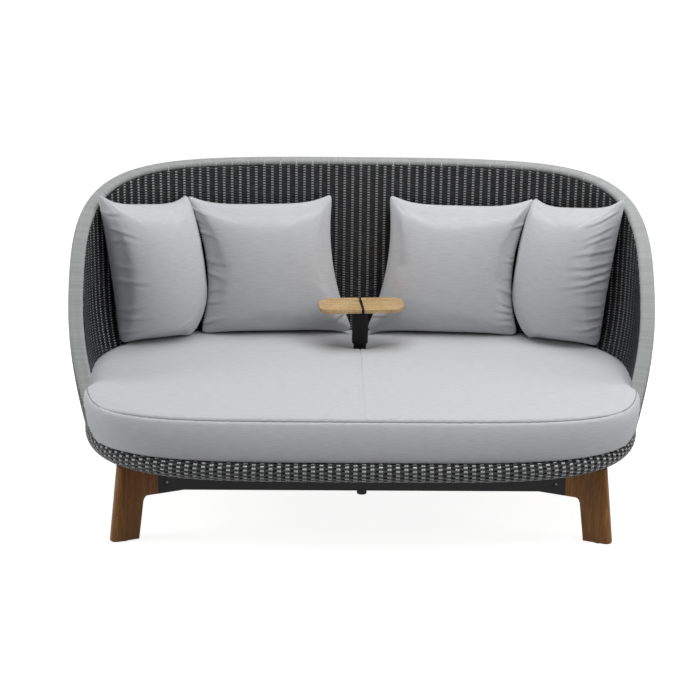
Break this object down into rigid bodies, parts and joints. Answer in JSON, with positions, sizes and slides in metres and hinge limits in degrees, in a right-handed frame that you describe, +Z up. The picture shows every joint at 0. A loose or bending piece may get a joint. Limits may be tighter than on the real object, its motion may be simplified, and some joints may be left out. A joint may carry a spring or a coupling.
{
  "type": "outdoor daybed",
  "caption": "Outdoor daybed with a woven double-walled wrap-around shell, a corded rim, teak legs on a metal base, a thick seat cushion, scatter cushions and a small swivelling post table.",
  "frame": {"origin": "centre of the bounding box at floor level, under the middle of the daybed", "axes": "+X to the viewer's right seen from the front, along the daybed's width; +Y to the back; +Z up; the front faces -Y"},
  "size_m": [1.9798, 1.0849, 1.1],
  "materials": {
    "metal": "fine-textured matte charcoal powder coat",
    "fixings": "satin stainless steel",
    "cord": "light grey outdoor cord, wound tightly",
    "weave": "dark graphite woven fibre with light grey warp strands",
    "teak": "oiled teak",
    "pale_teak": "fresh sanded teak",
    "plastic": "matte black",
    "seat_fabric": "light grey plain-woven outdoor fabric",
    "scatter_fabric": "light grey plain-woven outdoor fabric"
  },
  "bodies": {
    "frame": {"rim_tubes": "metal", "rim_wrap": "cord", "outer_weave": "weave", "inner_weave": "weave", "shell_uprights": "metal", "seat_rail_tube": "metal", "woven_rail": "weave", "deck_slats": "teak", "deck_rails": "metal", "beam_risers": "metal", "front_beam": "metal", "rear_beam": "metal", "center_spine": "metal", "spine_bolt": "metal", "riser_screws": "fixings", "leg_front_left": "teak", "leg_front_right": "teak", "leg_rear_left": "teak", "leg_rear_right": "teak", "leg_bolts": "fixings", "foot_glides": "plastic", "table_post": "metal", "post_nut": "metal", "pivot_washer": "plastic"},
    "table": {"table_plate": "metal", "leaf_left": "pale_teak", "leaf_right": "pale_teak", "table_screws": "fixings"},
    "seat": {"seat_cushion": "seat_fabric"},
    "outer_left": {"scatter_outer_left": "scatter_fabric"},
    "inner_left": {"scatter_inner_left": "scatter_fabric"},
    "inner_right": {"scatter_inner_right": "scatter_fabric"},
    "outer_right": {"scatter_outer_right": "scatter_fabric"}
  },
  "joints": [
    {"name": "table_swivel", "type": "hinge", "parent": "frame", "child": "table", "pos_m": [0, 0.3005, 0.614], "axis": [0, 0, 1], "range_deg": [-24, 14]},
    {"name": "seat_lift", "type": "slide", "parent": "frame", "child": "seat", "axis": [0, 0, 1], "range_m": [0, 0.12]},
    {"name": "outer_left_lift", "type": "slide", "parent": "seat", "child": "outer_left", "axis": [-0.1178, -0.1473, 0.9821], "range_m": [0, 0.2]},
    {"name": "inner_left_lift", "type": "slide", "parent": "seat", "child": "inner_left", "axis": [0.0499, 0, 0.9988], "range_m": [0, 0.2]},
    {"name": "inner_right_lift", "type": "slide", "parent": "seat", "child": "inner_right", "axis": [-0.0499, 0, 0.9988], "range_m": [0, 0.2]},
    {"name": "outer_right_lift", "type": "slide", "parent": "seat", "child": "outer_right", "axis": [0.1178, -0.1473, 0.9821], "range_m": [0, 0.2]}
  ]
}
